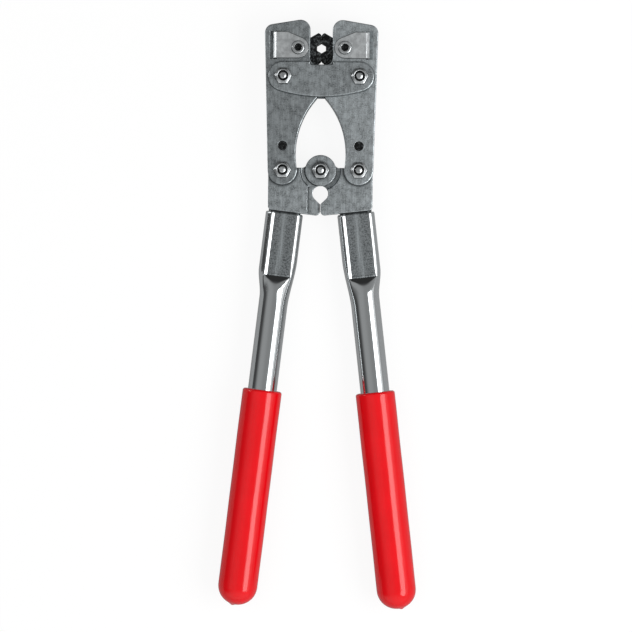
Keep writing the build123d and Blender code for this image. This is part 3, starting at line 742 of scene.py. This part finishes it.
def tube_section(side, turn, along, inset):
    """Across and up of the tube's wall at a turn round it and a place along it, and where it is pressed.

    The round-ended slot has a height r up to its straight half length l and falls to its end as the
    square root of r squared less the square of what is beyond l. A lip stands on the flat's left.
    The flat is half its thickness plus the ramp, a rise that clears the round tube, a ridge at its
    end and a wall beside it.
    """
    inner = smooth((along - INNER_NECK[0]) / INNER_NECK[1])
    outer = smooth((along - OUTER_NECK[0]) / OUTER_NECK[1])
    neck = inner + (outer - inner) * smooth(0.5 + NECK_MIX * np.cos(turn))
    middle = smooth((along - MIDDLE_NECK[0]) / MIDDLE_NECK[1])
    middle = np.maximum(middle, neck) - neck
    neck = neck + middle * smooth(1.0 - np.abs(np.cos(turn)) / MIDDLE_SHARE)
    radius = FLAT_HALF + (TUBE_R - FLAT_HALF) * neck - inset
    straight = FLAT_STRAIGHT * (1.0 - neck)
    across = (straight + radius) * np.cos(turn)
    beyond = np.clip(np.abs(across) - straight, 0.0, None)
    body = np.sqrt(np.clip(radius**2 - beyond**2, 0.0, None))
    left = smooth(0.5 - LEFT_SHARP * side * np.cos(turn))
    lip = left * np.exp(-(((np.abs(across) - LIP_PLACE[side]) / LIP_WIDTH[side]) ** 2)) * (1.0 - neck)
    fade = smooth((body - LIP_FOOT) / LIP_FADE)
    body = body + LIP_HEIGHT[side] * lip * fade
    climb = np.clip((along - FLAT_END[side]) / RAMP_LENGTH, 0.0, 1.0)
    ramp = (TUBE_R - FLAT_HALF) * (1.0 - (1.0 - climb) ** RAMP_POWER)
    clear = CLEAR_HEIGHT * smooth((along - FLAT_END[side]) / RAMP_LENGTH - 0.5)
    ridge = RIDGE_HEIGHT * np.exp(-(((along - FLAT_END[side]) / RIDGE_WIDTH + RIDGE_BACK) ** 2))
    edge = FLAT_RIGHT + (FLAT_LEFT[side] - FLAT_RIGHT) * left
    ridge = ridge * smooth((edge - np.abs(across)) / RIDGE_FADE)
    beside = np.abs(across) - WALL_START[side]
    wall = WALL_SLOPE * 0.5 * (beside + np.hypot(beside, WALL_ROUND))
    wall = left * wall * (1.0 - smooth(climb / WALL_FADE[side]))
    flat = FLAT_HALF - inset + ramp + clear + ridge + wall
    blend = CREASE_ROUND + RAMP_ROUND * smooth(climb / RAMP_ROUND_SHARE)
    cut = soft_minimum(body, flat, blend)
    pressed = smooth((body - flat) / PRESSED_SOFT + PRESSED_LEAD)
    pressed = pressed * (along < FLAT_END[side] + PRESSED_PAST)
    pressed = pressed * smooth((edge - np.abs(across)) / PRESSED_FADE)
    return across, np.sign(np.sin(turn)) * cut, pressed


print("pressed end", round(2 * (FLAT_STRAIGHT + FLAT_HALF) / MM, 1), "mm wide")

# %% Tubes
TUBE_START = -0.7 * MM
TUBE_LENGTH = 247.5 * MM
TUBE_COLUMNS = 300
TUBE_ROWS = (13, 64, 30, 90, 24)
INSIDE_STEP = 6
CREASE_SPAN = (2.0 * MM, 1.0 * MM)
RAMP_SPAN = 27.0 * MM
END_ROUND = 1.2 * MM
END_DEPTH = 0.5 * MM


def pressed_tube(side, name):
    """Wall of a tube as a ring of rows: down the outside, round the lower end and up the inside."""
    turn = full_turn(TUBE_COLUMNS)[None, :]
    end = FLAT_END[side]
    crease = (end - CREASE_SPAN[0], end + CREASE_SPAN[1])
    stops = (TUBE_START, TUBE_START + END_ROUND, *crease, end + RAMP_SPAN, TUBE_LENGTH)
    runs = [np.linspace(*run) for run in zip(stops, stops[1:], TUBE_ROWS)]
    outside = np.unique(np.concatenate(runs))
    rounding = END_DEPTH * np.clip(1.0 - (outside - TUBE_START) / END_ROUND, 0.0, 1.0) ** 2
    inside = outside[::-INSIDE_STEP]
    along = np.concatenate([outside, inside])[:, None]
    inset = np.concatenate([rounding, np.full(len(inside), TUBE_WALL)])[:, None]
    across, up, pressed = tube_section(side, turn, along, inset)
    mesh = closed_surface(name, on_handle(side, across, along, up), crease=40.0)
    dull = mesh.attributes.new("pressed", "FLOAT", "POINT")
    dull.data.foreach_set("value", pressed.ravel().astype(np.float32))
    run = mesh.attributes.new("run", "FLOAT_VECTOR", "POINT")
    places = np.stack(np.broadcast_arrays(across, along, up), -1)
    run.data.foreach_set("vector", places.ravel().astype(np.float32))
    return mesh


for side, hand in SIDES:
    tube = pressed_tube(side, hand + "_pressed_tube")
    stand_in(tube, polished_chrome, hand + "_handle", "chrome_tube", hand + "_tube")

# %% [markdown]
# ## Dipped grips
# The grip is a skin of PVC that grew on the tube in a hot bath, rim up. It is a profile turned round
# the handle: a small rounded rim, a long wall that is never quite even, a round end and, where the
# last drop hung, a small nub a little off the middle. Slow waves on the radius give the wall its
# dipped look, and always take material away, so the grip stays inside its CAD size.

# %% Grips
GRIP_START = {-1: 117.4 * MM, 1: 118.4 * MM}
GRIP_R = 13.1 * MM
GRIP_BORE = TUBE_R + 0.02 * MM
RIM_ROUND = 1.7 * MM
DOME_CENTRE = {-1: 247.9 * MM, 1: 249.75 * MM}
WAVE_DEPTH = 0.07 * MM
DRIP_ASIDE = 2.4 * MM
DRIP_WIDTH = 1.5 * MM
DRIP_STAND = 0.75 * MM
GRIP_COLUMNS = 128
TIP_ROWS = 26
WALL_ROWS = 60
RIM_ROWS = 8
BORE_ROWS = 8
RIM_LEAD = 0.3 * MM
OUTER_BAND = 2.0 * MM
QUICK_WAVE = 95.0
SLOW_WAVE = 41.0
POLE_GAP = 0.02


def grip_profile(start, centre):
    """Radius and place along the handle: from the end's pole up the wall, over the rim, down the bore."""
    tip = np.linspace(POLE_GAP, 0.5 * np.pi, TIP_ROWS)
    dome = np.stack([np.sin(tip) * GRIP_R, centre + np.cos(tip) * GRIP_R])
    wall_along = np.linspace(centre - OUTER_BAND, start + RIM_ROUND, WALL_ROWS)
    wall = np.stack([np.full(WALL_ROWS, GRIP_R), wall_along])
    bend = np.linspace(0.0, 0.5 * np.pi, RIM_ROWS)[1:]
    rim = np.stack([
        GRIP_R - RIM_ROUND + RIM_ROUND * np.cos(bend),
        start + RIM_ROUND - RIM_ROUND * np.sin(bend),
    ])
    bore_along = np.linspace(start + RIM_LEAD, centre, BORE_ROWS)
    bore = np.stack([np.full(BORE_ROWS, GRIP_BORE), bore_along])
    lip = np.array([[GRIP_BORE + RIM_LEAD], [start]])
    return np.concatenate([dome, wall, rim, lip, bore], axis=1)


def dipped_grip(side, name):
    """The profile turned round the handle, waved by sines along and round it, with its drip."""
    centre = DOME_CENTRE[side]
    radius, along = (row[:, None] for row in grip_profile(GRIP_START[side], centre))
    turn = full_turn(GRIP_COLUMNS)[None, :]
    wave = np.sin(along * QUICK_WAVE + 2.0 * turn) * np.sin(along * SLOW_WAVE - turn + side)
    outer = smooth((radius - GRIP_R + OUTER_BAND) / OUTER_BAND)
    radius = radius - WAVE_DEPTH * (1.0 + wave) * outer
    across = radius * np.cos(turn)
    up = radius * np.sin(turn)
    apart = np.hypot(across - DRIP_ASIDE, up)
    drip = DRIP_STAND * np.exp(-((apart / DRIP_WIDTH) ** 2)) * (along > centre)
    along = along + drip
    pole_out = centre + GRIP_R + DRIP_STAND * np.exp(-((DRIP_ASIDE / DRIP_WIDTH) ** 2))
    poles = on_handle(side, np.zeros(2), np.array([pole_out, centre]), np.zeros(2))
    return closed_surface(name, on_handle(side, across, along, up), poles, crease=60.0)


for side, hand in SIDES:
    grip = dipped_grip(side, hand + "_dipped_grip")
    stand_in(grip, red_pvc, hand + "_handle", "red_grip", hand + "_grip")

# %% [markdown]
# ## Lock nuts
# Each nut is a hexagon with its corners turned off by a cone, a round collar rolled over at the top
# and a dark nylon ring inside it. Turned parts with a few flats are rings of rows too: every row has
# a radius and a height for each angle, and a hexagon's radius is half its width over the cosine of the
# angle from the middle of the nearest flat.

# %% Turned parts
TURNED_COLUMNS = 192


def hexagon(turn, half_width):
    """Distance from the middle of a hexagon to its side, with its corners to the left and right."""
    return half_width / np.cos(np.mod(turn, np.pi / 3) - np.pi / 6)


def turned_rows(rows, place, columns=TURNED_COLUMNS):
    """Points of rows of radius and height, each a number or an array over the turn, set at a place."""
    turn = full_turn(columns)
    radius = np.stack([np.broadcast_to(row[0], turn.shape) for row in rows])
    height = np.stack([np.broadcast_to(row[1], turn.shape) for row in rows])
    points = np.stack([radius * np.cos(turn), radius * np.sin(turn), height], -1)
    return points + place


print("turned columns", TURNED_COLUMNS)

# %% Nut and ring
NUT_HALF_WIDTH = 5.0 * MM
NUT_HEIGHT = 5.4 * MM
HEX_HEIGHT = 3.9 * MM
COLLAR_R = 4.35 * MM
MOUTH_R = 3.25 * MM
NUT_BORE = 3.02 * MM
RING_DEPTH = 1.1 * MM
CORNER_CONE = 0.58
LIP_RISE = 0.55 * MM
LIP_ROWS = 12
CROWN_SHARE = 0.89
CONE_MIDDLE = 0.45
SEAT_SHARE = 0.93
SEAT_RISE = 0.2 * MM
SEAT_SLOPE = 0.4
COLLAR_FOOT = 0.1 * MM
RING_GAP = 0.02 * MM
RING_LIFT = 0.01 * MM
RING_EDGE = 0.6 * MM
RING_CROWN = 0.52 * MM


def lock_nut_rows():
    """Rows from the bore's foot out over the seat, up the hexagon, over the collar and into its mouth."""
    flats = hexagon(full_turn(TURNED_COLUMNS), NUT_HALF_WIDTH)
    crown = CROWN_SHARE * NUT_HALF_WIDTH
    fall = CORNER_CONE * (flats - crown)
    over = np.linspace(0.0, np.pi, LIP_ROWS)[1:-1]
    lip_r = (COLLAR_R + MOUTH_R) / 2 + (COLLAR_R - MOUTH_R) / 2 * np.cos(over)
    lip = list(zip(lip_r, NUT_HEIGHT - LIP_RISE + LIP_RISE * np.sin(over)))
    return [
        (NUT_BORE, 0.0),
        (SEAT_SHARE * NUT_HALF_WIDTH, 0.0),
        (flats, SEAT_RISE + SEAT_SLOPE * (flats - NUT_HALF_WIDTH)),
        (flats, HEX_HEIGHT - fall),
        (0.5 * (flats + crown), HEX_HEIGHT - CONE_MIDDLE * fall),
        (crown, HEX_HEIGHT),
        (COLLAR_R, HEX_HEIGHT + COLLAR_FOOT),
        (COLLAR_R, NUT_HEIGHT - LIP_RISE),
        *lip,
        (MOUTH_R, NUT_HEIGHT - LIP_RISE),
        (MOUTH_R, NUT_HEIGHT - RING_DEPTH),
        (NUT_BORE, NUT_HEIGHT - RING_DEPTH),
    ]


def nylon_ring_rows():
    """A low crowned ring that fills the mouth of the nut round the bolt."""
    low = NUT_HEIGHT - RING_DEPTH + RING_LIFT
    return [
        (NUT_BORE + RING_GAP, low),
        (MOUTH_R - RING_GAP, low),
        (MOUTH_R - RING_GAP, NUT_HEIGHT - RING_EDGE),
        (0.5 * (MOUTH_R + NUT_BORE), NUT_HEIGHT - RING_CROWN),
        (NUT_BORE + RING_GAP, NUT_HEIGHT - RING_EDGE),
    ]


def node_middle(node):
    """The middle of a node's box seen from above, at its lowest height."""
    low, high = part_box(node)
    return [(low[0] + high[0]) / 2, (low[1] + high[1]) / 2, low[2]]


print("nut of", len(lock_nut_rows()), "rows, ring of", len(nylon_ring_rows()))

# %% Nuts on the pivots and the hub
PIVOTS = (("left_pivot", "left_jaw"), ("right_pivot", "right_jaw"), ("hub", "right_handle"))

for pivot, body in PIVOTS:
    node = pivot + "_nut"
    place = node_middle(node)
    nut = closed_surface(node + "_turned", turned_rows(lock_nut_rows(), place))
    stand_in(nut, zinc, body, "bright_bolts", node)
    ring = closed_surface(node + "_ring", turned_rows(nylon_ring_rows(), place))
    stand_in(ring, nylon, body, "black_pins")

# %% [markdown]
# The two strap nuts are one CAD node, and one piece stands for it. The grids of both nuts go into one
# array, and the helper joins each into faces of the same mesh.

# %% Nuts on the strap
strap_low, strap_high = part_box("strap_nuts")
nut_corner = NUT_HALF_WIDTH / cos(np.pi / 6)
strap_y = (strap_low[1] + strap_high[1]) / 2
strap_places = [
    (strap_low[0] + nut_corner, strap_y, strap_low[2]),
    (strap_high[0] - nut_corner, strap_y, strap_low[2]),
]
pair = np.stack([turned_rows(lock_nut_rows(), place) for place in strap_places])
stand_in(closed_surface("strap_nuts_turned", pair), zinc, "frame", "bright_bolts", "strap_nuts")
pair = np.stack([turned_rows(nylon_ring_rows(), place) for place in strap_places])
stand_in(closed_surface("strap_nuts_ring", pair), nylon, "frame", "black_pins")

# %% [markdown]
# ## Bolts
# The bolts come up from the back and end a little above their nuts, where each shows a bright domed
# end in a dark ring round its thread, painted black as shade. Along the thread the radius falls and
# climbs once per pitch, and its phase follows the turn, so the groove is a true helix. The heads at the
# back are low and round, or sunk in the back strap, with a hexagonal socket. Faces carry zinc, or
# black paint for shade, by their row.

# %% Bolt rows
BOLT_R = 3.0 * MM
PITCH = 1.0 * MM
THREAD_DEPTH = 0.3 * MM
THREAD_RUN = 6.0 * MM
THREAD_ROWS = 45
TIP_R = 2.1 * MM
TIP_DOME = 0.5 * MM
TIP_BEVEL = 0.7 * MM
DOME_ROWS = 9
KEY_HALF = 2.0 * MM
KEY_DEPTH = 1.8 * MM
KEY_LEAD = 0.2 * MM


def bolt_rows(length, head):
    """Rows over the socket and the head, up the shank and its thread, and over the domed end.

    The thread's radius is the bolt's less a depth times a triangle wave of the height in pitches
    less the turn in whole turns. The dome is a cap of a sphere: half the sum of the square of its
    edge over its height and the height is its radius.
    """
    turn = full_turn(TURNED_COLUMNS)
    key = hexagon(turn, KEY_HALF)
    socket = [(0.5 * KEY_HALF, KEY_DEPTH), (key, KEY_DEPTH), (key, KEY_LEAD), (key + KEY_LEAD, 0.0)]
    height = np.linspace(length - THREAD_RUN, length - TIP_DOME - TIP_BEVEL, THREAD_ROWS)
    phase = np.mod(height[:, None] / PITCH - turn[None, :] / (2 * np.pi), 1.0)
    thread = list(zip(BOLT_R - THREAD_DEPTH * (1.0 - np.abs(2.0 * phase - 1.0)), height))
    sphere = (TIP_R**2 / TIP_DOME + TIP_DOME) / 2
    lean = np.linspace(np.arcsin(TIP_R / sphere), POLE_GAP, DOME_ROWS)
    dome = list(zip(sphere * np.sin(lean), length - sphere * (1.0 - np.cos(lean))))
    shank = [(BOLT_R, length - THREAD_RUN - PITCH)]
    return socket + head + shank + thread + dome


def paint_shade_rows(mesh, shaded_rows):
    """Zinc on a turned piece, and black as painted shade on some rows of faces, the poles' fans last."""
    count = len(mesh.polygons) // (len(shaded_rows) * TURNED_COLUMNS)
    quads = np.tile(np.repeat(shaded_rows[:-2], TURNED_COLUMNS), count)
    fans = np.tile(np.repeat(shaded_rows[-2:], TURNED_COLUMNS), count)
    mesh.materials.append(zinc)
    mesh.materials.append(pin_black)
    mesh.polygons.foreach_set("material_index", np.concatenate([quads, fans]).astype(np.int32))


print("thread of", round((THREAD_RUN - TIP_DOME - TIP_BEVEL) / PITCH, 1), "turns")

# %% Bolts
BUTTON_R = 5.25 * MM
BUTTON_HEIGHT = 2.9 * MM
BUTTON_ROUND = 1.6 * MM
BUTTON_ROWS = 9
SUNK_R = 5.57 * MM
SUNK_FACE = 0.25 * MM
SUNK_SIDE = 0.2 * MM
SUNK_BEVEL = 0.1 * MM

bend = np.linspace(0.0, 0.5 * np.pi, BUTTON_ROWS)
button_head = [
    *zip(BUTTON_R - BUTTON_ROUND * (1.0 - np.sin(bend)), BUTTON_ROUND * (1.0 - np.cos(bend))),
    (BUTTON_R, BUTTON_HEIGHT),
    (BOLT_R, BUTTON_HEIGHT),
]
sunk_head = [
    (SUNK_R - SUNK_FACE, 0.0),
    (SUNK_R - SUNK_SIDE, SUNK_BEVEL),
    (BOLT_R, SUNK_R - BOLT_R),
]


def bolts(name, places, length, head, body, node):
    """One piece of bolts that stand at places on their heads, with shade painted black along their threads."""
    rows = bolt_rows(length, head)
    grids = np.stack([turned_rows(rows, place) for place in places])
    poles = [[np.add(place, (0, 0, KEY_DEPTH)), np.add(place, (0, 0, length))] for place in places]
    mesh = closed_surface(name, grids, np.array(poles))
    shaded_rows = np.zeros(len(rows) + 1)
    # The thread rows take the black finish: painted shade for the shadow in the thread's groove.
    shaded_rows[len(rows) - DOME_ROWS - THREAD_ROWS : len(rows) - DOME_ROWS] = 1
    paint_shade_rows(mesh, shaded_rows)
    stand_in(mesh, None, body, "bright_bolts", node)


for pivot, body in PIVOTS:
    node = pivot + "_bolt"
    low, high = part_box(node)
    bolts(node + "_threaded", [node_middle(node)], high[2] - low[2], button_head, body, node)

low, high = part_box("strap_bolts")
sunk_places = [(place[0], place[1], low[2]) for place in strap_places]
bolts("strap_bolts_threaded", sunk_places, high[2] - low[2], sunk_head, "frame", "strap_bolts")

# %% [markdown]
# ## Axle screws
# The dies turn on socket screws. The head is a knurled drum with a rounded edge and a hexagonal
# socket with a small lead-in. The knurl is a triangle wave on the radius, and the rows run from the
# middle of the socket's floor, out over the head, down the shank and in again at its end. The eased
# edges are short tables: how far a row lies in from the side, and below the top or above the seat.

# %% Socket screws
HEAD_R = 4.3 * MM
HEAD_HEIGHT = 3.6 * MM
SOCKET_HALF = 2.2 * MM
SOCKET_DEPTH = 2.6 * MM
SHANK_R = 3.0 * MM
THREAD_R = 2.5 * MM
THREAD_LENGTH = 4.5 * MM
SOCKET_ROWS = 4
KNURL_TEETH = 48
KNURL_DEPTH = 0.16 * MM
KNURL_SPAN = (0.8 * MM, 0.5 * MM)
KNURL_LEAD = 0.6 * MM
KNURL_EASE = 0.04 * MM
DISH_SHARE = 0.4
DISH_DEPTHS = (0.15 * MM, 0.25 * MM)
FLOOR_SHARE = 0.98
FLOOR_ROUND = 0.05 * MM
LEAD_R = 2.5 * MM
LEAD_DROP = 0.45 * MM
LEAD_STEP = 0.12 * MM
TOP_EDGE = np.array([(0.8, 0.0), (0.45, 0.08), (0.2, 0.3)]) * MM
SEAT_EDGE = np.array([(0.3, 0.15), (0.5, 0.0)]) * MM
END_BEVEL = 0.2 * MM


def socket_screw(name, node):
    """Socket floor, socket wall, head top, knurled side, seat, shank and thread, between two poles."""
    low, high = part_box(node)
    middle = node_middle(node)
    top = high[2] - low[2]
    turn = full_turn(TURNED_COLUMNS)
    socket = hexagon(turn, SOCKET_HALF)
    lead = np.maximum(socket, LEAD_R)
    tooth = np.abs(np.mod(turn * KNURL_TEETH / (2 * np.pi), 1.0) - 0.5) * 2.0
    side = HEAD_R - KNURL_DEPTH * tooth
    seat = top - HEAD_HEIGHT
    rows = [
        (DISH_SHARE * SOCKET_HALF, top - SOCKET_DEPTH - DISH_DEPTHS[0]),
        (FLOOR_SHARE * socket, top - SOCKET_DEPTH),
        (socket, top - SOCKET_DEPTH + FLOOR_ROUND),
        (socket, top - LEAD_DROP),
        (lead, top - LEAD_STEP),
        (lead + LEAD_STEP, top),
        *((HEAD_R - inset, top - drop) for inset, drop in TOP_EDGE),
        (0.5 * (HEAD_R + side) - KNURL_EASE, top - KNURL_LEAD),
        (side, top - KNURL_SPAN[0]),
        (side, seat + KNURL_SPAN[1]),
        *((HEAD_R - inset, seat + rise) for inset, rise in SEAT_EDGE),
        (SHANK_R, seat),
        (SHANK_R, THREAD_LENGTH),
        (THREAD_R, THREAD_LENGTH),
        (THREAD_R, END_BEVEL),
        (THREAD_R - END_BEVEL, 0.0),
    ]
    floor = np.add(middle, (0.0, 0.0, top - SOCKET_DEPTH - DISH_DEPTHS[1]))
    mesh = closed_surface(name, turned_rows(rows, middle), np.array([floor, middle]))
    # The socket's floor and walls take the black finish: painted shade for the shadow in the recess.
    shaded_rows = np.zeros(len(rows) + 1)
    shaded_rows[:SOCKET_ROWS] = 1
    shaded_rows[-2] = 1
    paint_shade_rows(mesh, shaded_rows)
    return mesh


for hand in ("left", "right"):
    node = hand + "_die_axle_screw"
    stand_in(socket_screw(node + "_knurled", node), None, hand + "_jaw", "bright_bolts", node)

# %% [markdown]
# ## Die wheels
# Each die is a thick hexagonal wheel with half a small hexagon cut into every flat, a different size
# on each. Seen from the axle its edge is one distance for every angle, so it is a turned part too:
# the nearer of the big hexagon and the turned circle, cut back to where a ray from the axle enters a
# small hexagon. The flats come out just far enough to close the hairline between the two wheels.

# %% Wheel outline
WHEEL_COLUMNS = 720
WHEEL_TURNED_R = 17.5 * MM
WHEEL_BORE = 3.05 * MM
WHEEL_EDGE = 0.35 * MM
EASE_SHARE = 0.3
HAIRLINE = 0.004 * MM
STATIONS = np.array([5.8, 6.6, 7.8, 9.0, 10.2, 11.4]) * MM


def wheel_outline(turn, reach):
    """Distance from the axle to the edge of the wheel on the right, for every angle.

    A ray enters a small hexagon at the last of the sides that face it, and leaves at the first of
    those that face away. It meets the hexagon if it enters before it leaves.
    """
    edge = np.minimum(hexagon(turn + np.pi / 6, reach - HAIRLINE), WHEEL_TURNED_R)
    station = np.arange(6)[:, None, None]
    facing = np.arange(6)[None, :, None] * np.pi / 3
    off = turn[None, None, :] - np.pi * (1.0 + station / 3)
    towards = np.cos(off - facing)
    gap = (STATIONS[:, None, None] / 2 + reach * np.cos(facing)) / towards
    enters = np.where(towards < 0, gap, -np.inf).max(axis=1)
    leaves = np.where(towards > 0, gap, np.inf).min(axis=1)
    cut = np.where((enters < leaves) & (leaves > 0) & (enters > 0), enters, np.inf).min(axis=0)
    return np.minimum(edge, cut)


print("die stations", [round(v / MM, 1) for v in STATIONS], "mm")


# %% Wheels
def die_wheel(side, name, node):
    """Rows from the bore over the back face, up the eased edge and over the front face."""
    low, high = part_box(node)
    axle = node_middle(node.replace("die_wheel", "die_axle_screw"))
    edge = wheel_outline(full_turn(WHEEL_COLUMNS), abs(axle[0]))
    thick = high[2] - low[2]
    ease = EASE_SHARE * WHEEL_EDGE
    back = [
        (WHEEL_BORE, 0.0),
        (0.5 * (WHEEL_BORE + edge), 0.0),
        (edge - WHEEL_EDGE, 0.0),
        (edge - ease, ease),
        (edge, WHEEL_EDGE),
    ]
    rows = back + [(radius, thick - height) for radius, height in back[::-1]]
    points = turned_rows(rows, (0.0, 0.0, 0.0), WHEEL_COLUMNS) * (side, 1.0, 1.0)
    return closed_surface(name, points + (axle[0], axle[1], low[2]), crease=25.0)


for side, hand in SIDES:
    node = hand + "_die_wheel"
    wheel = die_wheel(side, node + "_cut", node)
    stand_in(wheel, die_black, hand + "_jaw", "black_dies", node)
